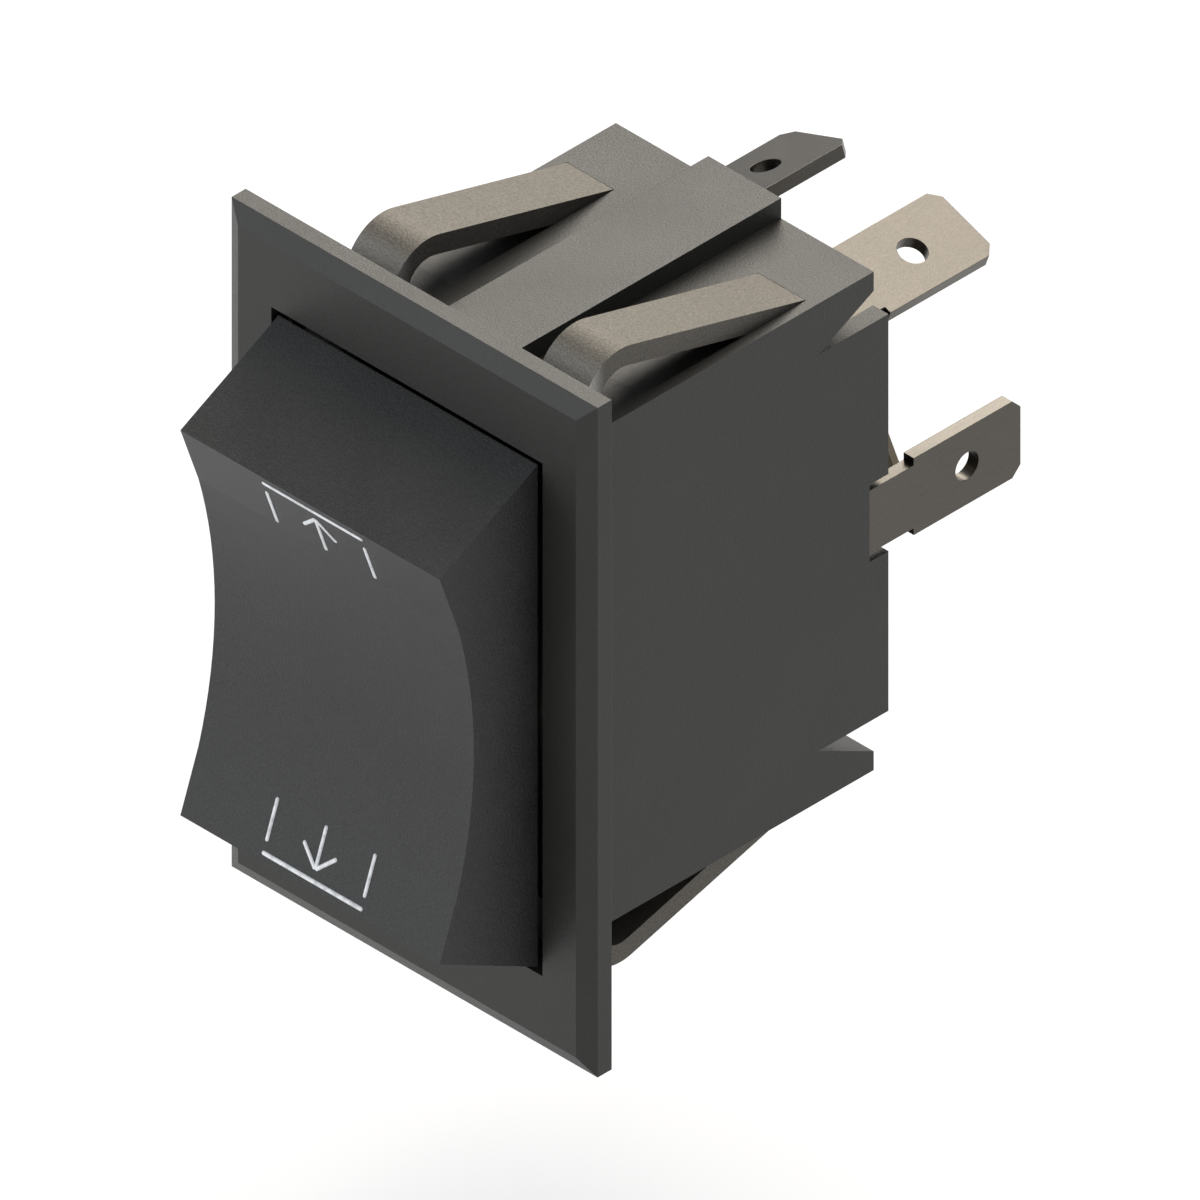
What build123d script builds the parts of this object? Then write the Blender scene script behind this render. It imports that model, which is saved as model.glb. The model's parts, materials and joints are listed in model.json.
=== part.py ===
from build123d import *
import os
from math import asin, atan2, cos, degrees, radians, sin, sqrt, tan

os.makedirs("parts", exist_ok=True)

# All sizes in millimetres
# +X is right seen from the front, -Y is the user's side, +Z is up
# The origin is the middle of the bezel's back face

# Body of the housing, the driving sizes
body_half_width = 10.075
body_half_height = 16.86
body_back = 24.7
wall_overhang = 1.15
ledge_length = 4.3
ledge_thickness = 1.28
ledge_height = 3.44
rib_half_width = 2.85
rib_rise = 1.38
side_wall = 1.6
rear_side_wall = 1.2
seat_lip = 0.32
front_room = 6.0
front_lip = 3.15

# Bezel plate, the opening for the rocker and the collar behind the plate
bezel_side_border = 4.225
bezel_end_border = 5.79
bezel_edge = 1.1
bezel_depth = 1.7
bevel_run = 1.1
opening_side_margin = 0.525
opening_end_margin = 0.49
collar_margin = 0.375
collar_wall = 0.15
collar_depth = 1.5
light_lip = 0.4

# Clearances between pieces
slide_gap = 0.05
seat_gap = 0.075
rest_gap = 0.02
running_gap = 0.07
swing_gap = 0.3
skirt_gap = 0.175

# Rocker
pivot_depth = 1.25
swing_angle = 7.0
rocker_side_gap = 0.47
rocker_end_gap = 0.37
cap_under = 1.6
crest_out = 9.28
crest_inset = 3.95
land_rise = 1.42
land_height = 4.0
valley_rise = 2.68
skirt_depth = 3.5
skirt_wall = 1.5
skirt_overlap = 0.4
rocker_wall = 1.5
end_wall = 1.7
hollow_inset = 0.73
hub_wall = 0.6
hub_overlap = 0.6
hub_half_height = 3.2
hub_depth = 6.6
bore_floor = 2.1
trunnion_radius = 1.25
trunnion_length = 1.2
trunnion_end_gap = 0.1

# Snap clips
clip_inset = 2.585
clip_width = 3.6
clip_thickness = 1.29
clip_leg_angle = 65.0
bend_depth = 5.72
bend_rise = 0.88
bend_radius = 3.0
clip_end_rise = 1.29
clip_root_inset = 4.6
foot_length = 1.0
foot_drop = 2.21
foot_height = 0.55
foot_lug = 0.25
clip_side_gap = 0.06
clip_back_gap = 0.02
pocket_front = 2.2
pocket_drop = 1.76
well_back = 4.85
ramp_front = 7.3
socket_gap = 0.3

# Quick connect tabs
tab_width = 5.2
tab_thickness = 0.8
tab_length = 8.34
tab_bevel = 0.64
tab_hole_radius = 0.91
tab_hole_reach = 4.17
neck_length = 2.05
neck_width = 4.25
stem_width = 3.2
tab_tilt = 20.0
tab_side_room = 3.125
tab_end_room = 0.98
stub_length = 0.6

# Contact plates and rivets
plate_reach = 6.2
rivet_reach = 4.0
strap_reach = 5.6
fixed_rivet_radius = 1.2
fixed_rivet_height = 0.6
moving_rivet_radius = 1.0
moving_rivet_height = 0.8

# Middle tabs with folded legs
tab_face_inset = 0.075
web_inset = 1.45
leg_half_height = 1.8
fulcrum_lead = 1.75
fulcrum_half_height = 0.3
fulcrum_taper = 1.6
wall_slot_gap = 0.485

# Terminal base
base_front = 15.5
base_depth = 6.5
base_corner = 0.3
ridge_bite = 0.2
ridge_root = 0.1
ridge_lead = 0.28
ridge_flat = 0.3
ridge_slope = 0.8
ridge_height = 7.5
ridge_half_length = 2.5
recess_inner = 1.2
recess_outer = 5.6
recess_height = 4.0
recess_half_width = 1.1
recess_depth = 1.2

# Contact strips
strip_width = 3.6
strip_thickness = 0.8
strip_overhang = 1.4
strip_bend = 3.0
fulcrum_gap = 0.1
ear_gap = 0.1
ear_thickness = 0.5
ear_depth = 1.0
ear_half_length = 0.9

# Cross straps
strap_width = 4.0
strap_thickness = 0.5
high_crown_rise = 6.95
low_crown_rise = 1.25
strap_bend_radius = 1.0
pick_room = 0.01

# Plungers and their springs
plunger_radius = 1.68
spring_room = 4.2
plunger_guide_out = 0.3
plunger_taper = 0.7
tip_radius = 1.2
tip_gap = 0.3
wire_radius = 0.22
coil_radius = 1.2
coil_pitch = 0.94

# Derived sizes of the housing
wall_back = body_back + wall_overhang
wall_half_height = body_half_height - ledge_height
notch_tip = body_back - ledge_length
notch_top = body_half_height - ledge_thickness
rib_half_height = body_half_height + rib_rise
inner_half_width = body_half_width - side_wall
rear_half_width = body_half_width - rear_side_wall
middle_half_height = wall_half_height - seat_lip
opening_half_width = body_half_width + opening_side_margin
opening_half_height = body_half_height + opening_end_margin
collar_half_width = body_half_width + collar_margin
collar_room = collar_half_width - collar_wall
bezel_width = 2 * (body_half_width + bezel_side_border)
bezel_height = 2 * (body_half_height + bezel_end_border)
front_half_height = opening_half_height - front_lip
rim_middle = -cap_under + swing_gap
rim_slope = tan(radians(swing_angle))
rim_end = rim_middle + rim_slope * opening_half_height

# Derived sizes of the rocker
rocker_half_width = opening_half_width - rocker_side_gap
cap_end = opening_half_height - rocker_end_gap
crest_half_height = cap_end - crest_inset
land_half_height = crest_half_height - land_height
land_inner_out = crest_out - land_rise
valley_out = crest_out - valley_rise
hollow_half_height = crest_half_height - hollow_inset
hollow_out = crest_out - end_wall
bore_bottom = valley_out - bore_floor
skirt_half_width = inner_half_width - skirt_gap
skirt_radius = front_half_height - swing_gap
trunnion_tip = skirt_half_width + trunnion_length
bore_radius = plunger_radius + running_gap

# Derived sizes of the clips
clip_middle = body_half_width - clip_inset
clip_root = body_back - clip_root_inset
foot_front = clip_root - foot_length
foot_bottom = body_half_height - foot_drop
foot_top = foot_bottom + foot_height
bend_height = body_half_height + bend_rise
clip_end_height = body_half_height + clip_end_rise
pocket_floor = body_half_height - pocket_drop
inner_radius = bend_radius - clip_thickness
arm_reach = sqrt((clip_root - bend_depth) ** 2 + bend_rise**2)
arm_slope = atan2(bend_rise, clip_root - bend_depth) + asin(bend_radius / arm_reach)

# Derived sizes of the terminals and contacts
base_back = base_front + base_depth
base_half_width = rear_half_width - seat_gap
base_half_height = wall_half_height - seat_gap
plate_back = base_front - slide_gap
plate_front = plate_back - tab_thickness
tilt_s = sin(radians(tab_tilt))
tilt_c = cos(radians(tab_tilt))
tab_middle_across = rear_half_width - tab_side_room - tab_thickness / 2 * tilt_s
tab_middle_height = wall_half_height - tab_end_room - tab_thickness / 2 * tilt_c
tab_shoulder = wall_back + neck_length
tab_tip = tab_shoulder + tab_length
tab_hole_depth = tab_tip - tab_hole_reach
pole_across = tab_middle_across - rivet_reach * tilt_s
rivet_height = tab_middle_height - rivet_reach * tilt_c
strap_across = tab_middle_across - strap_reach * tilt_s
strap_height = tab_middle_height - strap_reach * tilt_c
strap_leg = sqrt(strap_across**2 + strap_height**2)
strap_angle = degrees(atan2(strap_height, strap_across))
strap_half_length = strap_leg + strap_thickness / 2
high_crown = wall_back + high_crown_rise
low_crown = wall_back + low_crown_rise
middle_tab_face = body_half_width - tab_face_inset
web_front = wall_back - web_inset
leg_offset = tab_thickness / 2 + slide_gap

# Derived sizes of the contact strips, plungers and springs
fulcrum_depth = plate_front - fulcrum_lead
strip_back = fulcrum_depth - fulcrum_gap
strip_front = strip_back - strip_thickness
strip_half_length = rivet_height + strip_overhang
bend_slope = tan(radians(strip_bend))
strip_rise = strip_half_length * bend_slope
hub_half_width = pole_across + bore_radius + hub_wall
plunger_front = spring_room - bore_bottom
plunger_shoulder = hub_depth + plunger_guide_out
plunger_tip = strip_front - tip_gap


def block(x0, x1, y0, y1, z0, z1, mode=Mode.ADD):
    with Locations(((x0 + x1) / 2, (y0 + y1) / 2, (z0 + z1) / 2)):
        Box(x1 - x0, y1 - y0, z1 - z0, mode=mode)


def side_block(side, x0, x1, y0, y1, z0, z1, mode=Mode.ADD):
    block(min(side * x0, side * x1), max(side * x0, side * x1), y0, y1, z0, z1, mode)


def upright_plane(across, height, angle):
    c = cos(radians(angle))
    s = sin(radians(angle))
    return Plane(origin=(across, 0, height), x_dir=(c, 0, s), z_dir=(-s, 0, c))


# Housing: bezel, box body, end ledges, ribs, clip pockets and tab slots
with BuildPart() as housing:
    with BuildSketch(Plane.XZ):
        Rectangle(bezel_width, bezel_height)
    extrude(amount=bezel_edge)
    with BuildSketch(Plane.XZ.offset(bezel_edge)):
        Rectangle(bezel_width, bezel_height)
    with BuildSketch(Plane.XZ.offset(bezel_depth)):
        Rectangle(bezel_width - 2 * bevel_run, bezel_height - 2 * bevel_run)
    loft()
    with BuildSketch(Plane.YZ):
        with BuildLine():
            Polyline(
                (0, -body_half_height),
                (0, body_half_height),
                (body_back, body_half_height),
                (body_back, notch_top),
                (notch_tip, wall_half_height),
                (wall_back, wall_half_height),
                (wall_back, -wall_half_height),
                (notch_tip, -wall_half_height),
                (body_back, -notch_top),
                (body_back, -body_half_height),
                close=True,
            )
        make_face()
    extrude(amount=body_half_width, both=True)
    block(-rib_half_width, rib_half_width, 0, body_back, -rib_half_height, -body_half_height)
    block(-rib_half_width, rib_half_width, 0, body_back, body_half_height, rib_half_height)
    block(
        -collar_half_width, collar_half_width, 0, collar_depth,
        -rib_half_height, rib_half_height,
    )
    # Room for the rocker to swing
    with BuildSketch(Plane.YZ):
        with BuildLine():
            Polyline(
                (-bezel_depth - 1, -opening_half_height),
                (-bezel_depth - 1, opening_half_height),
                (rim_end, opening_half_height),
                (rim_middle, 0),
                (rim_end, -opening_half_height),
                close=True,
            )
        make_face()
    extrude(amount=collar_room, both=True, mode=Mode.SUBTRACT)
    # Full opening in front of a lip at the back of the plate that stops the light
    lip_height = (-light_lip - rim_middle) / rim_slope
    with BuildSketch(Plane.YZ):
        with BuildLine():
            Polyline(
                (-bezel_depth - 1, -opening_half_height),
                (-bezel_depth - 1, opening_half_height),
                (-light_lip, opening_half_height),
                (-light_lip, lip_height),
                (rim_middle, 0),
                (-light_lip, -lip_height),
                (-light_lip, -opening_half_height),
                close=True,
            )
        make_face()
    extrude(amount=opening_half_width, both=True, mode=Mode.SUBTRACT)
    # Cavity in three steps, the last one for the terminal base
    block(
        -inner_half_width, inner_half_width, rim_middle - 1, front_room,
        -front_half_height, front_half_height, Mode.SUBTRACT,
    )
    block(
        -inner_half_width, inner_half_width, front_room, base_front,
        -middle_half_height, middle_half_height, Mode.SUBTRACT,
    )
    block(
        -rear_half_width, rear_half_width, base_front, wall_back + 1,
        -wall_half_height, wall_half_height, Mode.SUBTRACT,
    )
    # Blind bearing holes for the rocker's trunnions
    bearing_end = trunnion_tip + trunnion_end_gap
    for side in (-1, 1):
        with Locations(Location((side * bearing_end / 2, pivot_depth, 0), (0, 90, 0))):
            Cylinder(trunnion_radius + running_gap, bearing_end, mode=Mode.SUBTRACT)
    # Slots for the necks of the middle tabs
    wall_slot_half_height = neck_width / 2 + wall_slot_gap
    for side in (-1, 1):
        side_block(
            side, rear_half_width - 1, body_half_width + 1, web_front - rest_gap, wall_back + 1,
            -wall_slot_half_height, wall_slot_half_height, Mode.SUBTRACT,
        )
    # Ridges that hold the terminal base on its seat
    ridge_start = base_back + rest_gap
    ridge_top = base_half_width - ridge_bite
    for side in (-1, 1):
        for height in (-ridge_height, ridge_height):
            with BuildSketch(Plane.XY.offset(height)):
                with BuildLine():
                    Polyline(
                        (side * (rear_half_width + ridge_root), ridge_start),
                        (side * ridge_top, ridge_start + ridge_lead),
                        (side * ridge_top, ridge_start + ridge_lead + ridge_flat),
                        (
                            side * (rear_half_width + ridge_root),
                            ridge_start + ridge_lead + ridge_flat + ridge_slope,
                        ),
                        close=True,
                    )
                make_face()
            extrude(amount=ridge_half_length, both=True)
    # A well for each clip's tip, a ramp under its arm and a socket for its foot
    pocket_half = clip_width / 2 + clip_side_gap
    socket_half = clip_width / 2 + foot_lug + clip_side_gap
    ramp_back = clip_root + clip_back_gap
    for side in (-1, 1):
        for end in (-1, 1):
            low, high = sorted((end * pocket_floor, end * (rib_half_height + 1)))
            side_block(
                side, clip_middle - pocket_half, clip_middle + pocket_half,
                pocket_front, well_back, low, high, Mode.SUBTRACT,
            )
            with BuildSketch(Plane.YZ.offset(side * clip_middle)):
                with BuildLine():
                    Polyline(
                        (ramp_front, end * body_half_height),
                        (ramp_back, end * pocket_floor),
                        (ramp_back, end * (body_half_height + 1)),
                        (ramp_front, end * (body_half_height + 1)),
                        close=True,
                    )
                make_face()
            extrude(amount=pocket_half, both=True, mode=Mode.SUBTRACT)
            low, high = sorted((end * (foot_bottom - socket_gap), end * (foot_top + socket_gap)))
            side_block(
                side, clip_middle - socket_half, clip_middle + socket_half,
                foot_front - socket_gap, clip_root + socket_gap, low, high, Mode.SUBTRACT,
            )

housing.part.label = "housing"
export_step(housing.part, "parts/housing.step")


# Terminal base: block with slots for stems, legs and straps
with BuildPart() as terminal_base:
    block(
        -base_half_width, base_half_width, base_front, base_back,
        -base_half_height, base_half_height,
    )
    chamfer(terminal_base.edges().filter_by(Axis.Y), base_corner)
    with BuildSketch(Plane.XZ.offset(-base_back)):
        for side in (-1, 1):
            for end in (-1, 1):
                with Locations((side * tab_middle_across, end * tab_middle_height)):
                    Rectangle(
                        stem_width + 2 * slide_gap, tab_thickness + 2 * slide_gap,
                        rotation=-tab_tilt * side * end,
                    )
                with Locations((side * strap_across, end * strap_height)):
                    Rectangle(
                        strap_thickness + 2 * slide_gap, strap_width + 2 * slide_gap,
                        rotation=strap_angle * side * end,
                    )
            with Locations((side * pole_across, 0)):
                Rectangle(2 * leg_offset, 2 * (leg_half_height + slide_gap))
    extrude(amount=base_depth, mode=Mode.SUBTRACT)
    # Shallow recesses between the slots on the rear face
    for side in (-1, 1):
        for height in (-recess_height, recess_height):
            side_block(
                side, recess_inner, recess_outer, base_back - recess_depth, base_back,
                height - recess_half_width, height + recess_half_width, Mode.SUBTRACT,
            )

terminal_base.part.label = "terminal_base"
export_step(terminal_base.part, "parts/terminal_base.step")


# Rocker: cap, skirt, trunnions, hollow and hub with two plunger bores
with BuildPart() as rocker:
    with BuildSketch(Plane.YZ):
        with BuildLine():
            Polyline(
                (-land_inner_out, land_half_height),
                (-crest_out, crest_half_height),
                (-cap_under, cap_end),
                (-cap_under, -cap_end),
                (-crest_out, -crest_half_height),
                (-land_inner_out, -land_half_height),
            )
            ThreePointArc(
                (-land_inner_out, -land_half_height),
                (-valley_out, 0),
                (-land_inner_out, land_half_height),
            )
        make_face()
    extrude(amount=rocker_half_width, both=True)
    with BuildSketch(Plane.YZ):
        with Locations((pivot_depth, 0)):
            Circle(skirt_radius)
        with Locations(((skirt_depth - cap_under - skirt_overlap) / 2, 0)):
            Rectangle(
                skirt_depth + cap_under + skirt_overlap, 2 * skirt_radius, mode=Mode.INTERSECT
            )
    extrude(amount=skirt_half_width, both=True)
    with BuildSketch(Plane.YZ):
        with BuildLine():
            Polyline(
                (-land_inner_out + rocker_wall, land_half_height),
                (-hollow_out, hollow_half_height),
                (skirt_depth + 1, hollow_half_height),
                (skirt_depth + 1, -hollow_half_height),
                (-hollow_out, -hollow_half_height),
                (-land_inner_out + rocker_wall, -land_half_height),
            )
            ThreePointArc(
                (-land_inner_out + rocker_wall, -land_half_height),
                (-valley_out + rocker_wall, 0),
                (-land_inner_out + rocker_wall, land_half_height),
            )
        make_face()
    extrude(amount=skirt_half_width - skirt_wall, both=True, mode=Mode.SUBTRACT)
    block(
        -hub_half_width, hub_half_width, -valley_out + rocker_wall - hub_overlap, hub_depth,
        -hub_half_height, hub_half_height,
    )
    for side in (-1, 1):
        with BuildSketch(Plane.XZ.offset(-hub_depth)):
            with Locations((side * pole_across, 0)):
                Circle(bore_radius)
        extrude(amount=hub_depth + bore_bottom, mode=Mode.SUBTRACT)
        trunnion_root = skirt_half_width - skirt_wall / 2
        trunnion_span = trunnion_tip - trunnion_root
        with Locations(
            Location((side * (trunnion_root + trunnion_span / 2), pivot_depth, 0), (0, 90, 0))
        ):
            Cylinder(trunnion_radius, trunnion_span)

rocker.part.label = "rocker"
export_step(rocker.part, "parts/rocker.step")


# Snap clips: curved arm, short front leg and a foot with side lugs
arm_sin = sin(arm_slope)
arm_cos = cos(arm_slope)
leg_sin = sin(radians(clip_leg_angle))
leg_cos = cos(radians(clip_leg_angle))


def bend_point(radius, s, c):
    return (bend_depth + radius * s, bend_height + radius * c)


def build_clip(name, side, end):
    outer_arm = bend_point(bend_radius, arm_sin, arm_cos)
    outer_leg = bend_point(bend_radius, -leg_sin, leg_cos)
    inner_arm = bend_point(inner_radius, arm_sin, arm_cos)
    inner_leg = bend_point(inner_radius, -leg_sin, leg_cos)
    leg_slope = leg_sin / leg_cos
    outer_end = (outer_leg[0] - (outer_leg[1] - clip_end_height) / leg_slope, clip_end_height)
    inner_end = (inner_leg[0] - (inner_leg[1] - clip_end_height) / leg_slope, clip_end_height)
    root_top = (clip_root, body_half_height)
    foot_inner = (foot_front, inner_arm[1] - (foot_front - inner_arm[0]) * tan(arm_slope))

    def at(point):
        return (point[0], end * point[1])

    with BuildPart() as clip:
        with BuildSketch(Plane.YZ.offset(side * clip_middle)):
            with BuildLine():
                Polyline(at(outer_end), at(outer_leg))
                ThreePointArc(
                    at(outer_leg), at(bend_point(bend_radius, 0, 1)), at(outer_arm)
                )
                Polyline(
                    at(outer_arm), at(root_top), at((clip_root, foot_bottom)),
                    at((foot_front, foot_bottom)), at(foot_inner), at(inner_arm),
                )
                ThreePointArc(
                    at(inner_arm), at(bend_point(inner_radius, 0, 1)), at(inner_leg)
                )
                Polyline(at(inner_leg), at(inner_end), at(outer_end))
            make_face()
        extrude(amount=clip_width / 2, both=True)
        low, high = sorted((end * foot_bottom, end * foot_top))
        side_block(
            side, clip_middle - clip_width / 2 - foot_lug, clip_middle + clip_width / 2 + foot_lug,
            foot_front, clip_root, low, high,
        )
    clip.part.label = name
    export_step(clip.part, f"parts/{name}.step")


build_clip("clip_top_left", -1, 1)
build_clip("clip_top_right", 1, 1)
build_clip("clip_bottom_left", -1, -1)
build_clip("clip_bottom_right", 1, -1)


# Outline of one half of a quick connect tab from its shoulder to its tip
def tab_half(sign):
    return [
        (sign * neck_width / 2, tab_shoulder),
        (sign * tab_width / 2, tab_shoulder),
        (sign * tab_width / 2, tab_tip - tab_bevel),
        (sign * (tab_width / 2 - tab_bevel), tab_tip),
    ]


# Slanted end terminals, and end contacts that share their stem and plate
def build_end_contact(name, side, end, with_tab):
    angle = -tab_tilt * side * end
    middle_x = side * tab_middle_across
    middle_z = end * tab_middle_height
    plate_shift = end * (plate_reach - tab_thickness / 2) / 2
    plate_x = middle_x + plate_shift * sin(radians(angle))
    plate_z = middle_z - plate_shift * cos(radians(angle))
    stem_end = base_back + rest_gap if with_tab else base_back + stub_length
    stem = [(stem_width / 2, plate_front), (stem_width / 2, stem_end)]
    if with_tab:
        right = stem + [(neck_width / 2, stem_end)] + tab_half(1)
    else:
        right = stem
    left = [(-x, y) for x, y in reversed(right)]
    with BuildPart() as contact:
        with BuildSketch(upright_plane(middle_x, middle_z, angle)):
            with BuildLine():
                Polyline(*(right + left), close=True)
            make_face()
            if with_tab:
                with Locations((0, tab_hole_depth)):
                    Circle(tab_hole_radius, mode=Mode.SUBTRACT)
        extrude(amount=tab_thickness / 2, both=True)
        with BuildSketch(Plane.XZ.offset(-plate_back)):
            with Locations((plate_x, plate_z)):
                Rectangle(stem_width, plate_reach + tab_thickness / 2, rotation=angle)
        extrude(amount=tab_thickness)
    contact.part.label = name
    export_step(contact.part, f"parts/{name}.step")


build_end_contact("terminal_top_left", -1, 1, True)
build_end_contact("terminal_top_right", 1, 1, True)
build_end_contact("contact_bottom_left", -1, -1, False)
build_end_contact("contact_bottom_right", 1, -1, False)


# Middle terminals: upright tab, web and folded leg that ends as a fulcrum
def build_middle_terminal(name, side):
    half = tab_thickness / 2
    upper = [(y, x) for x, y in tab_half(1)]
    lower = [(y, x) for x, y in reversed(tab_half(-1))]
    with BuildPart() as terminal:
        with BuildSketch(Plane.YZ.offset(side * (middle_tab_face - half))):
            with BuildLine():
                Polyline(
                    (web_front, -neck_width / 2), (web_front, neck_width / 2),
                    *upper, *lower, close=True,
                )
            make_face()
            with Locations((tab_hole_depth, 0)):
                Circle(tab_hole_radius, mode=Mode.SUBTRACT)
        extrude(amount=half, both=True)
        side_block(
            side, pole_across - half, middle_tab_face, web_front, web_front + tab_thickness,
            -neck_width / 2, neck_width / 2,
        )
        with BuildSketch(Plane.YZ.offset(side * pole_across)):
            with BuildLine():
                Polyline(
                    (web_front + half, leg_half_height),
                    (fulcrum_depth + fulcrum_taper, leg_half_height),
                    (fulcrum_depth, fulcrum_half_height),
                    (fulcrum_depth, -fulcrum_half_height),
                    (fulcrum_depth + fulcrum_taper, -leg_half_height),
                    (web_front + half, -leg_half_height),
                    close=True,
                )
            make_face()
        extrude(amount=half, both=True)
    terminal.part.label = name
    export_step(terminal.part, f"parts/{name}.step")


build_middle_terminal("terminal_mid_left", -1)
build_middle_terminal("terminal_mid_right", 1)


# Cross straps on the two diagonals
def build_strap(name, angle, crown):
    inner = strap_half_length - strap_thickness
    foot = plate_back + rest_gap
    with BuildPart() as strap:
        with BuildSketch(upright_plane(0, 0, angle)) as outline:
            with BuildLine():
                Polyline(
                    (strap_half_length, foot), (strap_half_length, crown),
                    (-strap_half_length, crown), (-strap_half_length, foot),
                    (-inner, foot), (-inner, crown - strap_thickness),
                    (inner, crown - strap_thickness), (inner, foot), close=True,
                )
            make_face()
            fillet(outline.vertices().group_by(Axis.Y)[-1], strap_bend_radius)
            inside = outline.vertices().filter_by(
                lambda v: abs(abs(v.X) - inner) < pick_room
                and v.Y > crown - strap_thickness - pick_room
            )
            fillet(inside, strap_bend_radius - strap_thickness)
        extrude(amount=strap_width / 2, both=True)
    strap.part.label = name
    export_step(strap.part, f"parts/{name}.step")


build_strap("jumper_high", -strap_angle, high_crown)
build_strap("jumper_low", strap_angle, low_crown)


# Contact strips with ears that keep them on the fulcrum, and their rivets
def build_strip(name, side):
    ear_inner = tab_thickness / 2 + ear_gap
    with BuildPart() as strip:
        with BuildSketch(Plane.YZ.offset(side * pole_across)):
            with BuildLine():
                Polyline(
                    (strip_front, 0),
                    (strip_front - strip_rise, strip_half_length),
                    (strip_back - strip_rise, strip_half_length),
                    (strip_back, 0),
                    (strip_back - strip_rise, -strip_half_length),
                    (strip_front - strip_rise, -strip_half_length),
                    close=True,
                )
            make_face()
        extrude(amount=strip_width / 2, both=True)
        for way in (-1, 1):
            with Locations((side * pole_across, 0, 0)):
                side_block(
                    way, ear_inner, ear_inner + ear_thickness,
                    strip_back - strip_thickness / 2, strip_back + ear_depth,
                    -ear_half_length, ear_half_length,
                )
    strip.part.label = name
    export_step(strip.part, f"parts/{name}.step")


def build_strip_rivets(name, side):
    bend_s = sin(radians(strip_bend))
    bend_c = cos(radians(strip_bend))
    with BuildPart() as rivets:
        for end in (-1, 1):
            foot = (side * pole_across, strip_back - rivet_height * bend_slope, end * rivet_height)
            with BuildSketch(Plane(origin=foot, x_dir=(1, 0, 0), z_dir=(0, bend_c, end * bend_s))):
                Circle(moving_rivet_radius)
            extrude(amount=moving_rivet_height)
    rivets.part.label = name
    export_step(rivets.part, f"parts/{name}.step")


build_strip("contactor_left", -1)
build_strip("contactor_right", 1)
build_strip_rivets("contactor_buttons_left", -1)
build_strip_rivets("contactor_buttons_right", 1)

with BuildPart() as fixed_buttons:
    with BuildSketch(Plane.XZ.offset(-plate_front)):
        for side in (-1, 1):
            for end in (-1, 1):
                with Locations((side * pole_across, end * rivet_height)):
                    Circle(fixed_rivet_radius)
    extrude(amount=fixed_rivet_height)

fixed_buttons.part.label = "fixed_buttons"
export_step(fixed_buttons.part, "parts/fixed_buttons.step")


# Plungers with rounded tips, and the springs behind them
def build_plunger(name, side):
    middle = side * pole_across
    with BuildPart() as plunger:
        with BuildSketch(Plane.XY):
            with BuildLine():
                Polyline(
                    (middle, plunger_tip), (middle, plunger_front),
                    (middle + plunger_radius, plunger_front),
                    (middle + plunger_radius, plunger_shoulder),
                    (middle + tip_radius, plunger_shoulder + plunger_taper),
                    (middle + tip_radius, plunger_tip - tip_radius),
                )
                ThreePointArc(
                    (middle + tip_radius, plunger_tip - tip_radius),
                    (
                        middle + tip_radius * sin(radians(45)),
                        plunger_tip - tip_radius + tip_radius * cos(radians(45)),
                    ),
                    (middle, plunger_tip),
                )
            make_face()
        revolve(axis=Axis((middle, 0, 0), (0, 1, 0)))
    plunger.part.label = name
    export_step(plunger.part, f"parts/{name}.step")


def build_spring(name, side):
    start = -bore_bottom + wire_radius + rest_gap
    height = plunger_front - wire_radius - rest_gap - start
    with BuildPart() as spring:
        with BuildLine() as path:
            Helix(
                pitch=coil_pitch, height=height, radius=coil_radius,
                center=(side * pole_across, start, 0), direction=(0, 1, 0),
            )
        with BuildSketch(Plane(origin=path.line @ 0, z_dir=path.line % 0)):
            RegularPolygon(wire_radius, 6)
        sweep(is_frenet=True)
    spring.part.label = name
    export_step(spring.part, f"parts/{name}.step")


build_plunger("plunger_left", -1)
build_plunger("plunger_right", 1)
build_spring("plunger_spring_left", -1)
build_spring("plunger_spring_right", 1)
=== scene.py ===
# %% [markdown]
# # A snap-in rocker switch in black plastic
#
# The real object is a momentary rocker switch for a powered jack. Nearly all of it is black
# moulded plastic with a fine spark-eroded grain, so its look depends on how soft light slides
# over that grain. Tabs of plated brass stand out at the back. The shapes come from the packed
# frame, and this script dresses them: it gives every piece its finish, adds the marks on the
# rocker and two finer springs inside it, and sets the light.

# %% Load the frame
import json

import bpy
import numpy as np
from mathutils import Matrix, Vector


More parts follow.
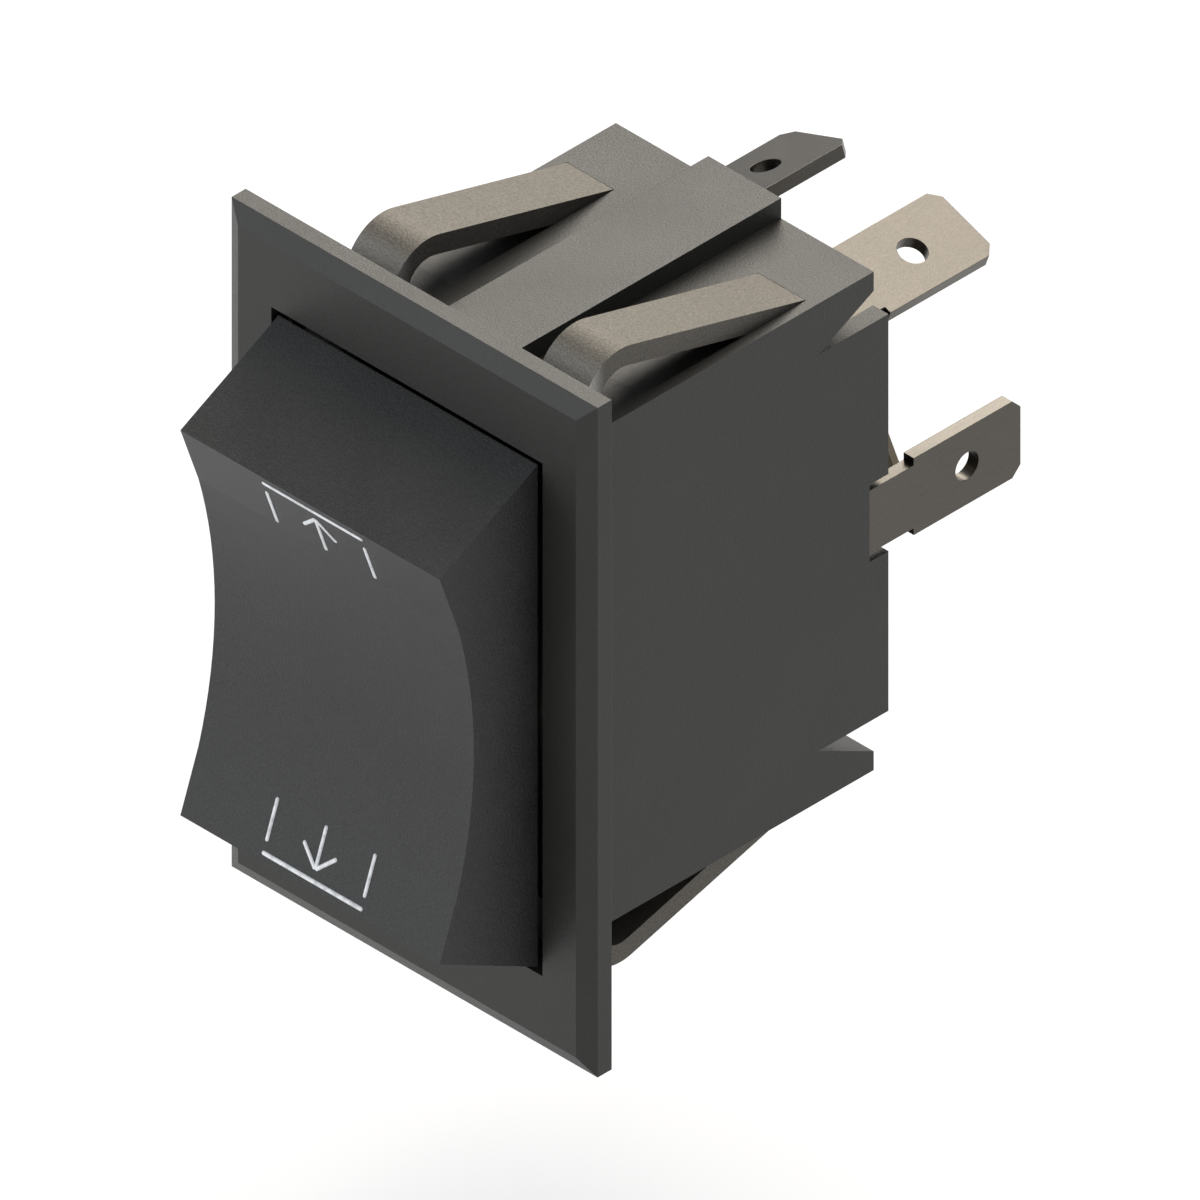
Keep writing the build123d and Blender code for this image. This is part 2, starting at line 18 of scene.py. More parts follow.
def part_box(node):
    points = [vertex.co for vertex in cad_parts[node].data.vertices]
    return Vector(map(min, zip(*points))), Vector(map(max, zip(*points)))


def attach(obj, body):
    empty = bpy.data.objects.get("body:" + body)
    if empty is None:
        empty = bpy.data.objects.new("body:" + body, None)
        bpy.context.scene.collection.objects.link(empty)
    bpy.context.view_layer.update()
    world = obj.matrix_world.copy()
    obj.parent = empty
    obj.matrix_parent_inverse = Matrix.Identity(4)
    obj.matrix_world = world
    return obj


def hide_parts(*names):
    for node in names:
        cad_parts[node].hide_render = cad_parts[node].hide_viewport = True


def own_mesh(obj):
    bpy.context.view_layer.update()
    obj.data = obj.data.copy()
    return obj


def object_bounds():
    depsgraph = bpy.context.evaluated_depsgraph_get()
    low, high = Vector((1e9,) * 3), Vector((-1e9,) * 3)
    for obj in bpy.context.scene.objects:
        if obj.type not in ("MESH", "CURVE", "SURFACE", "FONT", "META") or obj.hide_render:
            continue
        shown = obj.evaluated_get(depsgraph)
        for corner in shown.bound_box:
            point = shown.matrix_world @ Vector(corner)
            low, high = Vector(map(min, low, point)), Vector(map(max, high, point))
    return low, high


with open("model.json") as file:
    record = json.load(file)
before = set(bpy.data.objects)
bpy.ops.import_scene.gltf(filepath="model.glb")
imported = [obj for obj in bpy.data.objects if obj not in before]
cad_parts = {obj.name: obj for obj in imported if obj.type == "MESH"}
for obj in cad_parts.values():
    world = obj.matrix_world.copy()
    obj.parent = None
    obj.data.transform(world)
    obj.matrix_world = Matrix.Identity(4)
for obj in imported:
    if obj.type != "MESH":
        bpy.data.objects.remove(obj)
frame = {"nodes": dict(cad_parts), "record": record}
cad_low, cad_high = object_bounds()

# %% [markdown]
# ## Millimetres
#
# Blender works in metres, and a switch is read in millimetres. One named factor keeps every size
# in this script readable, and no other change of unit is needed.

# %% Overall size
MM = 0.001
size_mm = (cad_high - cad_low) / MM
print("overall size in mm", [round(v, 2) for v in size_mm])

# %% [markdown]
# ## The camera
#
# The photograph is an isometric view: all three sides shorten by the same factor, and parallel
# edges stay parallel. A long lens from far away would only come close to that. An orthographic
# camera on the line (1, -1, 1) gives it exactly. Its scale is the width of the picture in metres,
# worked out from how many pixels one millimetre covers.

# %% Isometric camera
PICTURE_SIDE = 1200
PIXELS_PER_MM = 18.1
VIEW_SHIFT_RIGHT = 9.464 * MM
VIEW_SHIFT_UP = 1.605 * MM
CAMERA_DISTANCE = 0.4
NEAREST_SEEN = 0.01
FARTHEST_SEEN = 5

toward_camera = Vector((1, -1, 1)).normalized()
view_right = Vector((1, 1, 0)).normalized()
view_up = toward_camera.cross(view_right)
view_target = view_right * VIEW_SHIFT_RIGHT + view_up * VIEW_SHIFT_UP

camera_data = bpy.data.cameras.new("isometric_camera")
camera_data.type = "ORTHO"
camera_data.ortho_scale = PICTURE_SIDE / PIXELS_PER_MM * MM
camera_data.clip_start = NEAREST_SEEN
camera_data.clip_end = FARTHEST_SEEN
camera = bpy.data.objects.new("isometric_camera", camera_data)
bpy.context.collection.objects.link(camera)
camera.location = view_target + toward_camera * CAMERA_DISTANCE
camera.rotation_euler = Matrix((view_right, view_up, toward_camera)).transposed().to_euler()
bpy.context.scene.camera = camera
bpy.context.scene.view_settings.view_transform = "Standard"
print("picture width in mm", round(camera_data.ortho_scale / MM, 2))

# %% [markdown]
# ## Shader maths as plain sums
#
# A procedural finish is arithmetic on a surface point: noise, bands and masks that are added and
# multiplied. Wiring Math nodes by hand hides that, so `Field` wraps one socket and lets ordinary
# operators build the nodes. `Finish` owns one material and adds every other kind of node.

# %% A socket that can be added and multiplied
NOISE_MIDDLE = 0.5


class Field:
    """One number that varies over a surface. An operator on it adds the Math node of that name."""

    def __init__(self, finish, socket):
        self.finish = finish
        self.socket = socket

    def math(self, operation, *values):
        return self.finish.node("ShaderNodeMath", {"operation": operation}, *values)

    def __add__(self, other):
        return self.math("ADD", self, other)

    def __sub__(self, other):
        return self.math("SUBTRACT", self, other)

    def __rsub__(self, other):
        return self.math("SUBTRACT", other, self)

    def __mul__(self, other):
        return self.math("MULTIPLY", self, other)

    def __truediv__(self, other):
        return self.math("DIVIDE", self, other)

    def __rtruediv__(self, other):
        return self.math("DIVIDE", other, self)

    __radd__ = __add__
    __rmul__ = __mul__

    def above(self, edge, softness):
        """A soft step: 0 below edge - softness, 1 above edge + softness."""
        return self.finish.node(
            "ShaderNodeMapRange",
            {"interpolation_type": "SMOOTHSTEP", "clamp": True},
            **{"Value": self, "From Min": edge - softness, "From Max": edge + softness},
        )

    def swing(self, amount):
        """How far a noise is from its middle value, times an amount."""
        return (self - NOISE_MIDDLE) * amount


print("socket helper ready")

# %% A material that grows node by node
BEVEL_SAMPLES = 6
LEAN = 0.10


class Finish:
    """One material with a Principled shader. Fixed values go straight on the shader's sockets."""

    def __init__(self, name, **fixed):
        self.material = bpy.data.materials.new(name)
        self.material.use_nodes = True
        self.tree = self.material.node_tree
        self.shader = self.tree.nodes["Principled BSDF"]
        for socket, value in fixed.items():
            self.shader.inputs[socket.replace("_", " ")].default_value = value
        self.place = self.node("ShaderNodeTexCoord", {}, out="Object")
        self.rounded = None

    def node(self, kind, settings, *values, out=0, **named):
        """Adds a node: its type, its settings, then the values or links of its sockets."""
        made = self.tree.nodes.new(kind)
        for key, value in settings.items():
            setattr(made, key, value)
        for key, value in list(enumerate(values)) + list(named.items()):
            self.feed(made.inputs[key], value)
        return Field(self, made.outputs[out])

    def feed(self, socket, value):
        if isinstance(value, Field):
            self.tree.links.new(value.socket, socket)
        else:
            socket.default_value = value

    def set(self, socket, value):
        self.feed(self.shader.inputs[socket], value)

    def noise(self, cell_mm, detail=2.0, roughness=0.5, stretch=(1, 1, 1)):
        """Noise from 0 to 1 whose cells are about cell_mm across, stretched along each axis."""
        squeeze = tuple(1 / s for s in stretch)
        where = self.node("ShaderNodeVectorMath", {"operation": "MULTIPLY"}, self.place, squeeze)
        scale = 1 / (cell_mm * MM)
        return self.node(
            "ShaderNodeTexNoise", {}, out="Fac",
            **{"Vector": where, "Scale": scale, "Detail": detail, "Roughness": roughness},
        )

    def axis(self, letter):
        """The place along X, Y or Z in millimetres."""
        return self.node("ShaderNodeSeparateXYZ", {}, self.place, out=letter) / MM

    def blend(self, amount, first, second):
        """A colour between two colours, each a tuple or a Field."""
        made = self.tree.nodes.new("ShaderNodeMix")
        made.data_type = "RGBA"
        self.feed(made.inputs["Factor"], amount)
        for name, value in (("A", first), ("B", second)):
            colour = [s for s in made.inputs if s.name == name and s.type == "RGBA"][0]
            self.feed(colour, value if isinstance(value, Field) else (*value, 1.0))
        return Field(self, [s for s in made.outputs if s.type == "RGBA"][0])

    def round_edges(self, radius_mm):
        """Keeps the normal that the surface would have with its edges rounded to radius_mm.

        Returns how far that normal leans from the flat face's own: 0 on a face, up to 1 on a
        sharp edge.
        """
        self.rounded = self.node(
            "ShaderNodeBevel", {"samples": BEVEL_SAMPLES}, Radius=radius_mm * MM
        )
        flat = self.node("ShaderNodeNewGeometry", {}, out="Normal")
        agreement = self.node(
            "ShaderNodeVectorMath", {"operation": "DOT_PRODUCT"}, self.rounded, flat, out="Value"
        )
        return (1.0 - agreement).above(LEAN, LEAN)

    def grain(self, height, depth_mm):
        """Turns a height field from 0 to 1 into surface relief that is depth_mm deep."""
        bump = self.node(
            "ShaderNodeBump", {}, out="Normal",
            **{"Height": height, "Distance": depth_mm * MM, "Strength": 1.0},
        )
        if self.rounded:
            self.feed(bump.socket.node.inputs["Normal"], self.rounded)
        self.set("Normal", bump)


print("material helper ready")

# %% [markdown]
# ## Moulded black plastic
#
# The tool that moulds such a switch is spark eroded, which leaves pits about a tenth of a
# millimetre wide. They scatter the highlight, so flat faces look velvety. A picture of the grain
# could be wrapped round each piece, but it would need UV maps and show its seams. Noise in the
# piece's own space needs neither, and has one scale on every face. Two sizes of noise give the
# relief, and a much larger, weaker one gives the slight cloudiness of filled plastic.
#
# No moulded edge is quite sharp. A Bevel node tilts the normal near each edge as a small rounding
# would, and the same node tells where handling has polished the plastic, which is a little
# lighter and smoother there. One function makes the three blacks, because the real parts differ
# only in shade and in how coarse the grain is.

# %% Grained plastic
PLASTIC_INDEX = 1.46
PLASTIC_GLOSS = 0.43
CLOUD_MM = 6.0
SPECK_TO_PIT = 0.45
PIT_SHARE = 0.65
GRAIN_TONE = 1.2
CLOUD_TONE = 0.4
TONE_FADE = 0.5
POLISH_EVERYWHERE = 0.35
POLISH_TONE = 2.4
POLISH_SHARE = 0.55
CLOUD_ROUGHNESS = 0.1
PIT_ROUGHNESS = 0.12
POLISH_SMOOTHNESS = 0.08


def grained_plastic(name, dark, light, roughness, pit_mm, depth_mm, edge_mm):
    """A black plastic, mottled between two shades by its grain, and polished along its edges."""
    finish = Finish(name, IOR=PLASTIC_INDEX, Specular_IOR_Level=PLASTIC_GLOSS)
    edge = finish.round_edges(edge_mm)
    pits = finish.noise(pit_mm, detail=3.0, roughness=0.6)
    specks = finish.noise(pit_mm * SPECK_TO_PIT, detail=1.0)
    cloud = finish.noise(CLOUD_MM, detail=2.0)
    mottle = pits.swing(GRAIN_TONE) + specks.swing(GRAIN_TONE) + cloud.swing(CLOUD_TONE)
    tone = mottle + NOISE_MIDDLE
    grained = finish.blend(tone.above(NOISE_MIDDLE, TONE_FADE), dark, light)
    polish = edge * (cloud + POLISH_EVERYWHERE)
    polished = tuple(POLISH_TONE * c for c in light)
    finish.set("Base Color", finish.blend(polish * POLISH_SHARE, grained, polished))
    uneven = cloud.swing(CLOUD_ROUGHNESS) + pits.swing(PIT_ROUGHNESS)
    finish.set("Roughness", uneven - polish * POLISH_SMOOTHNESS + roughness)
    finish.grain(pits * PIT_SHARE + specks * (1 - PIT_SHARE), depth_mm)
    return finish.material


housing_plastic = grained_plastic(
    "housing_plastic", dark=(0.0165, 0.0161, 0.0142), light=(0.0253, 0.0247, 0.0221),
    roughness=0.45, pit_mm=0.13, depth_mm=0.029, edge_mm=0.035,
)
rocker_plastic = grained_plastic(
    "rocker_plastic", dark=(0.0130, 0.0130, 0.0129), light=(0.0375, 0.0374, 0.0371),
    roughness=0.44, pit_mm=0.14, depth_mm=0.060, edge_mm=0.04,
)
base_plastic = grained_plastic(
    "base_plastic", dark=(0.010, 0.010, 0.010), light=(0.020, 0.020, 0.0195),
    roughness=0.52, pit_mm=0.18, depth_mm=0.014, edge_mm=0.06,
)
for material in (housing_plastic, rocker_plastic, base_plastic):
    print(material.name, len(material.node_tree.nodes), "nodes")

# %% [markdown]
# ## The plungers
#
# The plungers rub on the contact strips, so they are a plain cream acetal, smoother than the
# housing and polished towards the tip by use. A painted map could show that, but the place along
# Y already says how near the tip a point is.

# %% Cream acetal
ACETAL_DARK = (0.62, 0.58, 0.48)
ACETAL_LIGHT = (0.72, 0.69, 0.60)
ACETAL_CLOUD_MM = 1.2
ACETAL_PIT_MM = 0.12
ACETAL_ROUGHNESS = 0.5
ACETAL_CLOUD_ROUGHNESS = 0.08
POLISHED_TIP_MM = 1.5
POLISH_FADE_MM = 1.2
TIP_SMOOTHNESS = 0.22

_, plunger_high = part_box("plunger_left")
tip_mm = plunger_high.y / MM
acetal = Finish("plunger_plastic", IOR=1.48)
acetal_cloud = acetal.noise(ACETAL_CLOUD_MM, detail=2.0)
near_tip = acetal.axis("Y").above(tip_mm - POLISHED_TIP_MM, POLISH_FADE_MM)
acetal.set("Base Color", acetal.blend(acetal_cloud, ACETAL_DARK, ACETAL_LIGHT))
acetal_roughness = ACETAL_ROUGHNESS - near_tip * TIP_SMOOTHNESS
acetal.set("Roughness", acetal_roughness + acetal_cloud * ACETAL_CLOUD_ROUGHNESS)
acetal.grain(acetal.noise(ACETAL_PIT_MM), depth_mm=0.002)
print("plunger tip at y", round(tip_mm, 2), "mm")

# %% [markdown]
# ## Plated and bare metal
#
# The tabs are stamped from brass strip and plated. The plating is a soft, warm grey with a fine
# matt tooth, streaked along the rolling direction. Anisotropic gloss would give the streaks' sheen
# but not the streaks. Stretched noise gives the streaks: its cells are long along one axis and
# narrow across it. Stamping shears the rim of a strip bright, and the edge mask of the rounding
# shows that.
#
# The snap clips are spring steel with a browner plating. Their front leg gets painted light: its
# colour is lighter there, for light that the bezel keeps off it. The cross straps and contact
# strips are barer and warmer. One function serves all of them.

# %% Rolled metal
STREAK_MM = 0.16
STREAK_LENGTH = 14.0
STAIN_MM = 3.5
STREAK_TONE = 0.2
TOOTH_TONE = 0.55
STAIN_TONE = 0.25
METAL_TONE_FADE = 0.24
TOOTH_RELIEF = 0.7
STAIN_ROUGHNESS = 0.16
STREAK_ROUGHNESS = 0.1
SHEARED_TONE = 1.4
SHEARED_SHARE = 0.3
SHEARED_SMOOTHNESS = 0.06
# Painted light on the clips' front leg: a lighter colour in front of a place along Y, for light
# that the bezel keeps off the leg.
LEG_LIGHT_FADE_MM = 0.7
LEG_LIGHT_BY_TOOTH = 0.5
LEG_LIGHT_EVERYWHERE = 0.6
PAINTED_LEG_LIGHT = (0.47, 0.46, 0.435)


def rolled_metal(
    name, dark, light, roughness, rolled_along,
    tooth_mm=0.12, depth_mm=0.002, edge_mm=0.07, painted_light_to_mm=None,
):
    """A metal mottled between two shades, streaked along one axis, bright on its sheared edges.

    Where a place along Y for painted light is given, the colour is painted lighter in front of
    that place, as light on a clip's front leg that the bezel shades.
    """
    finish = Finish(name, Metallic=1.0)
    edge = finish.round_edges(edge_mm)
    stretch = tuple(STREAK_LENGTH if letter == rolled_along else 1.0 for letter in "XYZ")
    streak = finish.noise(STREAK_MM, detail=3.0, stretch=stretch)
    tooth = finish.noise(tooth_mm, detail=2.0)
    stain = finish.noise(STAIN_MM, detail=3.0, roughness=0.6)
    tone = streak * STREAK_TONE + tooth * TOOTH_TONE + stain * STAIN_TONE
    plated = finish.blend(tone.above(NOISE_MIDDLE, METAL_TONE_FADE), dark, light)
    # Painted light: lighter in front of the given place along Y, where the bezel shades the clip's
    # front leg.
    if painted_light_to_mm is not None:
        in_front = 1.0 - finish.axis("Y").above(painted_light_to_mm, LEG_LIGHT_FADE_MM)
        painted_light_share = tooth * LEG_LIGHT_BY_TOOTH + LEG_LIGHT_EVERYWHERE
        plated = finish.blend(in_front * painted_light_share, plated, PAINTED_LEG_LIGHT)
    sheared = tuple(SHEARED_TONE * c for c in light)
    finish.set("Base Color", finish.blend(edge * SHEARED_SHARE, plated, sheared))
    uneven = stain.swing(STAIN_ROUGHNESS) + streak.swing(STREAK_ROUGHNESS)
    finish.set("Roughness", uneven - edge * SHEARED_SMOOTHNESS + roughness)
    finish.grain(streak * (1 - TOOTH_RELIEF) + tooth * TOOTH_RELIEF, depth_mm)
    return finish.material


tab_metal = rolled_metal(
    "tab_metal", dark=(0.081, 0.075, 0.066), light=(0.113, 0.105, 0.093),
    roughness=0.36, rolled_along="Y", tooth_mm=0.10, depth_mm=0.006, edge_mm=0.05,
)
# The clips' front leg gets painted light in front of 3.9 mm along Y.
clip_metal = rolled_metal(
    "clip_metal", dark=(0.105, 0.098, 0.088), light=(0.188, 0.176, 0.157),
    roughness=0.66, rolled_along="Y", tooth_mm=0.15, depth_mm=0.030, edge_mm=0.02,
    painted_light_to_mm=3.9,
)
strap_metal = rolled_metal(
    "strap_metal", dark=(0.24, 0.20, 0.145), light=(0.34, 0.285, 0.21),
    roughness=0.38, rolled_along="Y",
)
strip_metal = rolled_metal(
    "strip_metal", dark=(0.42, 0.25, 0.15), light=(0.58, 0.36, 0.23),
    roughness=0.32, rolled_along="Z",
)
contact_silver = rolled_metal(
    "contact_silver", dark=(0.55, 0.54, 0.52), light=(0.66, 0.65, 0.63),
    roughness=0.24, rolled_along="X",
)
spring_steel = rolled_metal(
    "spring_steel", dark=(0.36, 0.36, 0.37), light=(0.50, 0.50, 0.51),
    roughness=0.28, rolled_along="Y",
)
for material in (tab_metal, clip_metal, strap_metal, strip_metal, contact_silver, spring_steel):
    print(material.name, len(material.node_tree.nodes), "nodes")

# %% [markdown]
# ## Dressing the frame's pieces
#
# Each piece of the frame names its material slot in the record. The finishes could be picked by
# hand, piece by piece, but a dictionary from slot to finish dresses all of them, and it fails
# loudly if a slot has no finish.

# %% Assign the finishes
finishes = {
    "housing_plastic": housing_plastic,
    "rocker_plastic": rocker_plastic,
    "base_plastic": base_plastic,
    "plunger_plastic": acetal.material,
    "tab_metal": tab_metal,
    "clip_metal": clip_metal,
    "strap_metal": strap_metal,
    "strip_metal": strip_metal,
    "contact_silver": contact_silver,
    "spring_steel": spring_steel,
}
slot_of = {part["node"]: part["material_slot"] for part in frame["record"]["subparts"]}
for name, piece in frame["nodes"].items():
    for material_slot in piece.material_slots:
        material_slot.material = finishes[slot_of[name]]
print("dressed", len(frame["nodes"]), "pieces in", len(finishes), "finishes")

# %% [markdown]
# ## The marks on the rocker
#
# The rocker carries a pair of light marks, one for each way the jack drives. They are generic: an
# arrow between two uprights that points at a bar, like a jack's leg in its tube. A mark that a
# thumb rubs all day is moulded a little proud and painted, so each stroke is a low half-round bead
# with round ends. A bevelled curve could draw it, but between its points it would leave a hollow
# surface. The rocker's front is a profile of two flat lands with a hollow arc between them, so
# here a function of height gives where the surface is, and every point of a bead follows it.

# %% The rocker's front surface
CREST_OUT = 9.28
CREST_HEIGHT = 13.03
LAND_OUT = 7.86
LAND_HEIGHT = 9.03
VALLEY_OUT = 6.6
ARC_SAG = LAND_OUT - VALLEY_OUT
ARC_RADIUS = (LAND_HEIGHT**2 + ARC_SAG**2) / (2 * ARC_SAG)


def rocker_front(height):
    """The place along Y of the rocker's front at each height, in mm.

    It is a circle's arc as far as the lands, and then a straight line to the crest.
    """
    height = np.abs(height)
    on_arc = np.minimum(height, LAND_HEIGHT)
    arc = -VALLEY_OUT - ARC_RADIUS + np.sqrt(ARC_RADIUS**2 - on_arc**2)
    along = (height - LAND_HEIGHT) / (CREST_HEIGHT - LAND_HEIGHT)
    land = -(LAND_OUT + along * (CREST_OUT - LAND_OUT))
    return np.where(height <= LAND_HEIGHT, arc, land)


rocker_low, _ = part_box("rocker")
print("crest stands", round(-rocker_low.y / MM, 2), "mm out in the frame and", CREST_OUT, "here")

# %% Faces of a tube
def tube_faces(rings, sides):
    """Faces of a closed tube whose points come ring by ring.

    They are four-cornered between two rings, and one cap closes each end.
    """
    ring, along = np.meshgrid(np.arange(sides), np.arange(rings - 1))
    here = (along * sides + ring).ravel()
    beside = (along * sides + (ring + 1) % sides).ravel()
    quads = np.stack([here + sides, beside + sides, beside, here], axis=1).tolist()
    first_cap = list(range(sides))
    last_cap = list(range((rings - 1) * sides, rings * sides))[::-1]
    return quads + [first_cap, last_cap]


print("a box of 2 rings and 4 sides has", len(tube_faces(2, 4)), "faces")

# %% A bead that lies on the rocker
BEAD_WIDTH = 0.27
BEAD_HEIGHT = 0.11
BEAD_SUNK = 0.03
BEAD_STEPS = 28
BEAD_SIDES = 9
FIRST_STEP = 0.06
END_MARGIN = 0.002


def bead(start, end):
    """A closed half-round bead from start to end, both (x, z) in mm.

    With t along and an angle a from 0 to pi across, a point lies at start + t (end - start),
    moved sideways by cos(a) times the half width and outwards by sin(a) times the height. Near
    each end both shrink as a circle does, which rounds the end off, and the foot is sunk a little
    into the rocker. The steps of t follow a cosine, so they are shorter near the ends.
    """
    start, end = np.array(start, float), np.array(end, float)
    length = np.linalg.norm(end - start)
    run = (end - start) / length
    side = np.array([run[1], -run[0]])
    t = 0.5 - 0.5 * np.cos(np.linspace(FIRST_STEP, 1 - FIRST_STEP, BEAD_STEPS) * np.pi)
    t = (t - t[0]) / (t[-1] - t[0]) * (1 - 2 * END_MARGIN) + END_MARGIN
    from_end = np.minimum(t, 1 - t) * length / (BEAD_WIDTH / 2)
    shrink = np.sqrt(1 - np.clip(1 - from_end, 0, 1) ** 2)
    angle = np.linspace(0, np.pi, BEAD_SIDES)
    across = shrink[:, None] * np.cos(angle) * BEAD_WIDTH / 2
    raised = shrink[:, None] * np.sin(angle) * BEAD_HEIGHT - BEAD_SUNK
    flat = start + (t[:, None] * length)[..., None] * run + across[..., None] * side
    depth = rocker_front(flat[..., 1]) - raised
    points = np.stack([flat[..., 0], depth, flat[..., 1]], axis=-1).reshape(-1, 3) * MM
    return points, tube_faces(BEAD_STEPS, BEAD_SIDES)


print("bead points", BEAD_STEPS * BEAD_SIDES)

# %% From arrays to a Blender mesh
def joined(pieces):
    """Several (points, faces) pairs as one pair, with the later indices moved up."""
    starts = np.cumsum([0] + [len(points) for points, _ in pieces])
    points = np.concatenate([points for points, _ in pieces])
    faces = [
        [int(i + start) for i in face]
        for (_, part), start in zip(pieces, starts)
        for face in part
    ]
    return points, faces


def mesh_piece(name, points, faces, material, smooth=False):
    mesh = bpy.data.meshes.new(name)
    mesh.from_pydata(points, [], faces)
    mesh.materials.append(material)
    mesh.update()
    made = bpy.data.objects.new(name, mesh)
    bpy.context.collection.objects.link(made)
    if smooth:
        mesh.shade_smooth()
    return made


def volume(mesh):
    """Sum of the tetrahedra between the origin and each triangle, in cubic millimetres.

    It is above zero when the faces point outwards.
    """
    total = 0.0
    for face in mesh.polygons:
        corners = [mesh.vertices[i].co for i in face.vertices]
        for second, third in zip(corners[1:-1], corners[2:]):
            total += corners[0].dot(second.cross(third)) / 6
    return total / MM**3


print("mesh helpers ready")

# %% [markdown]
# The paint on the beads is a pale silver. Thumbs rub it, so it is thin and uneven: a noise
# lowers its brightness in places, and it stays matt.

# %% Silver paint
WORN_PAINT = (0.50, 0.51, 0.52)
FRESH_PAINT = (0.80, 0.81, 0.82)
WEAR_MM = 0.5
WEAR_EDGE = 0.4
WEAR_FADE = 0.2
PAINT_ROUGHNESS = 0.62
WEAR_SMOOTHNESS = 0.16
PAINT_PIT_MM = 0.1

paint = Finish("mark_paint", Metallic=0.3, IOR=1.45)
wear = paint.noise(WEAR_MM, detail=3.0, roughness=0.65)
paint.set("Base Color", paint.blend(wear.above(WEAR_EDGE, WEAR_FADE), WORN_PAINT, FRESH_PAINT))
paint.set("Roughness", PAINT_ROUGHNESS - wear * WEAR_SMOOTHNESS)
paint.grain(paint.noise(PAINT_PIT_MM), depth_mm=0.003)
print("finish", paint.material.name)

# %% The two marks
MARK_HALF_WIDTH = 3.95
MARK_FOOT = 9.3
MARK_BAR = 12.5
UPRIGHT_END = 11.85
ARROW_TIP = 11.85
ARROW_HEAD_LENGTH = 1.15
ARROW_HALF_WIDTH = 1.3


def direction_mark(name, way):
    """An arrow between two uprights that points at a bar, the given way along Z."""
    tip = (0, way * ARROW_TIP)
    beads = [
        bead((-MARK_HALF_WIDTH, way * MARK_BAR), (MARK_HALF_WIDTH, way * MARK_BAR)),
        bead((0, way * MARK_FOOT), tip),
    ]
    for side in (-1, 1):
        barb = (side * ARROW_HALF_WIDTH, way * (ARROW_TIP - ARROW_HEAD_LENGTH))
        across = side * (MARK_HALF_WIDTH - BEAD_WIDTH / 2)
        beads.append(bead(barb, tip))
        beads.append(bead((across, way * MARK_FOOT), (across, way * UPRIGHT_END)))
    mark = mesh_piece(name, *joined(beads), paint.material, smooth=True)
    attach(mark, "rocker")
    return mark


for mark in (direction_mark("mark_up", 1), direction_mark("mark_down", -1)):
    print(mark.name, len(mark.data.polygons), "faces,", round(volume(mark.data), 3), "cubic mm")

# %% [markdown]
# ## The plunger springs
#
# Behind each plunger sits a small compression spring of round steel wire, whose end turns are
# closed so that it stands square in its bore. The frame's coil is coarse and can't shorten, so a
# finer one stands for it. A Screw modifier could wind it, but with one pitch all along.

# %% A coil of round wire
WIRE_RADIUS = 0.22
COIL_RADIUS = 1.2
COIL_TURNS = 5
END_CLOSING = 0.38
STEPS_PER_TURN = 30
WIRE_SIDES = 10


def unit(vectors):
    """Each row of an array, scaled to length 1."""
    return vectors / np.linalg.norm(vectors, axis=-1, keepdims=True)


def coil(middle, bottom, top):
    """A closed tube of round wire about a line along Y at X = middle, from bottom to top, in mm.

    With t from 0 to 1 along the wire, its middle goes round by t times the turns, and its height
    is t less a small sine, so the turns lie closer at both ends. Round the wire an angle a goes
    from 0 to 2 pi, and a point lies at cos(a) outwards plus sin(a) along the direction square to
    that and to the wire.
    """
    rings = COIL_TURNS * STEPS_PER_TURN + 1
    t = np.linspace(0, 1, rings)
    turn = 2 * np.pi * COIL_TURNS * t
    height = bottom + (top - bottom) * (t - END_CLOSING * np.sin(2 * np.pi * t) / (2 * np.pi))
    level = np.zeros(rings)
    outward = np.stack([np.cos(turn), level, np.sin(turn)], axis=-1)
    path = COIL_RADIUS * outward + np.stack([level + middle, height, level], axis=-1)
    square = unit(np.cross(outward, np.gradient(path, axis=0)))
    angle = np.linspace(0, 2 * np.pi, WIRE_SIDES, endpoint=False)[:, None]
    circle = np.cos(angle) * outward[:, None] + np.sin(angle) * square[:, None]
    points = (path[:, None] + WIRE_RADIUS * circle).reshape(-1, 3) * MM
    return points, tube_faces(rings, WIRE_SIDES)


print("coil points", (COIL_TURNS * STEPS_PER_TURN + 1) * WIRE_SIDES)


def plunger_spring(side):
    """The spring of one side, as long as the frame's own, which it stands for."""
    low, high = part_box("plunger_spring_" + side)
    middle = (low.x + high.x) / 2 / MM
    bottom, top = low.y / MM, high.y / MM
    wire = coil(middle, bottom + WIRE_RADIUS, top - WIRE_RADIUS)
    made = mesh_piece("round_spring_" + side, *wire, spring_steel, smooth=True)
    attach(made, "rocker")
    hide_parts("plunger_spring_" + side)
    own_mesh(made)
    return made


for spring in (plunger_spring("left"), plunger_spring("right")):
    print(spring.name, round(volume(spring.data), 3), "cubic mm")

# %% [markdown]
# ## The floor and the light
#
# The photograph has a plain white ground. A pale floor a little below the switch takes a faint,
# soft shadow, and Light Path's flags mix a white glow into it for the camera and for reflections,
# so the ground is white without more light on the switch.

# %% Pale floor
FLOOR_DROP = 20 * MM
FLOOR_SIDE = 3.0
PAPER_DARK = (0.775, 0.785, 0.815)
PAPER_LIGHT = (0.795, 0.805, 0.835)
PAPER_CLOUD_MM = 60.0
GLOW_SHARE = 0.5
SEEN_THROUGH = ("Is Glossy Ray", "Is Transmission Ray")

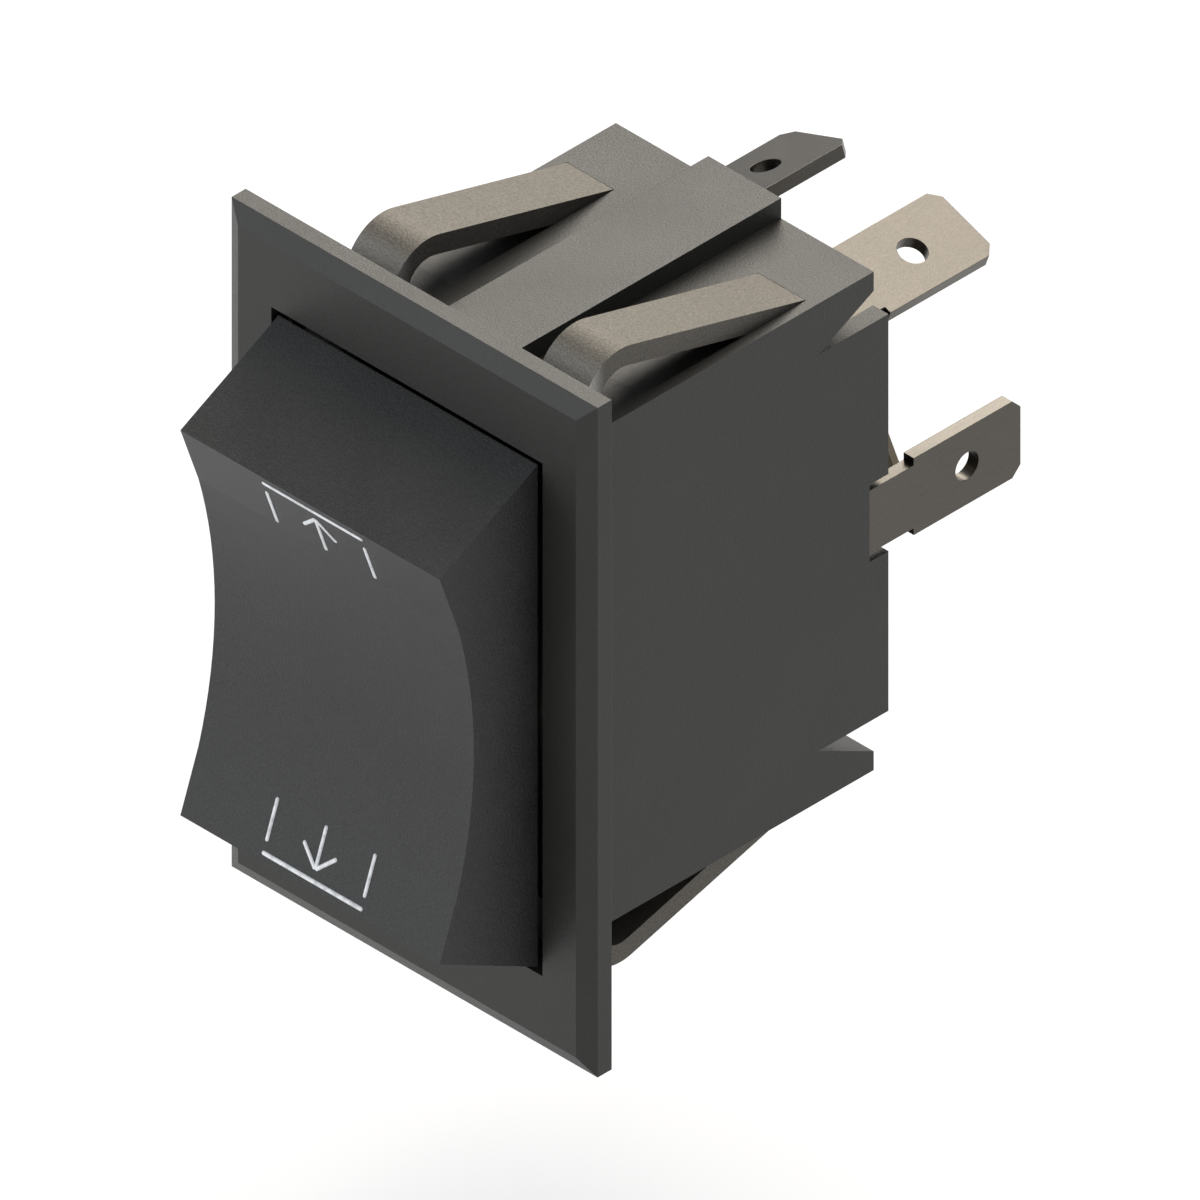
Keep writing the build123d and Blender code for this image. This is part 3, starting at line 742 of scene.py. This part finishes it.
floor_height = cad_low.z - FLOOR_DROP
corner = FLOOR_SIDE / 2
outline = np.array([(-corner, -corner), (corner, -corner), (corner, corner), (-corner, corner)])
floor_points = np.column_stack([outline, np.full(4, floor_height)])
paper = Finish("pale_paper", Roughness=0.9)
paper_cloud = paper.noise(PAPER_CLOUD_MM)
paper.set("Base Color", paper.blend(paper_cloud, PAPER_DARK, PAPER_LIGHT))
seen = sum(
    (paper.node("ShaderNodeLightPath", {}, out=kind) for kind in SEEN_THROUGH),
    paper.node("ShaderNodeLightPath", {}, out="Is Camera Ray"),
)
matt = Field(paper, paper.shader.outputs[0])
glow = paper.node("ShaderNodeEmission", {}, Color=(1, 1, 1, 1), Strength=1.0)
mixed = paper.node("ShaderNodeMixShader", {}, seen * GLOW_SHARE, matt, glow)
paper.feed(paper.tree.nodes["Material Output"].inputs["Surface"], mixed)
floor = mesh_piece("floor", floor_points, [[0, 1, 2, 3]], paper.material)
print("floor at", round(floor_height / MM, 1), "mm")

# %% [markdown]
# Black plastic shows its form only by reflection. Its upward faces are bright because a warm soft
# panel stands behind and above it. Its sides stay dark because only the floor and a dim, even
# room face them, and a weaker, cooler panel in front brings out the bezel and the rocker. A
# picture of a studio could light it too, but a few numbers say the same. Panels and room together
# light a flat face at about 1, so a colour renders about as it is written.

# %% Soft panels
def soft_panel(name, direction, along, distance, length, width, power, colour):
    """A rectangular lamp that looks back at the switch from a direction, long along a line."""
    lamp = bpy.data.lights.new(name, "AREA")
    lamp.shape = "RECTANGLE"
    lamp.size = length
    lamp.size_y = width
    lamp.energy = power
    lamp.color = colour
    made = bpy.data.objects.new(name, lamp)
    bpy.context.collection.objects.link(made)
    toward = Vector(direction).normalized()
    across = toward.cross(Vector(along)).normalized()
    made.location = toward * distance
    made.rotation_euler = Matrix((across.cross(toward), across, toward)).transposed().to_euler()
    print(name, "of", power, "watts")


soft_panel(
    "back_panel", direction=(-0.327, 0.594, 0.735), along=(0.675, -0.396, 0.621),
    distance=0.6, length=0.66, width=0.32, power=5.15, colour=(1.0, 0.935, 0.84),
)
soft_panel(
    "front_panel", direction=(-0.57, -0.80, 0.20), along=(0.81, -0.58, 0.0),
    distance=0.7, length=0.8, width=0.34, power=1.9, colour=(0.95, 0.975, 1.0),
)

# %% An even room
ROOM_COLOUR = (0.93, 0.965, 1.0, 1.0)
ROOM_STRENGTH = 0.55

world = bpy.data.worlds.new("studio")
bpy.context.scene.world = world
world.use_nodes = True
room = world.node_tree.nodes["Background"].inputs
room["Color"].default_value = ROOM_COLOUR
room["Strength"].default_value = ROOM_STRENGTH
print("room strength", ROOM_STRENGTH)
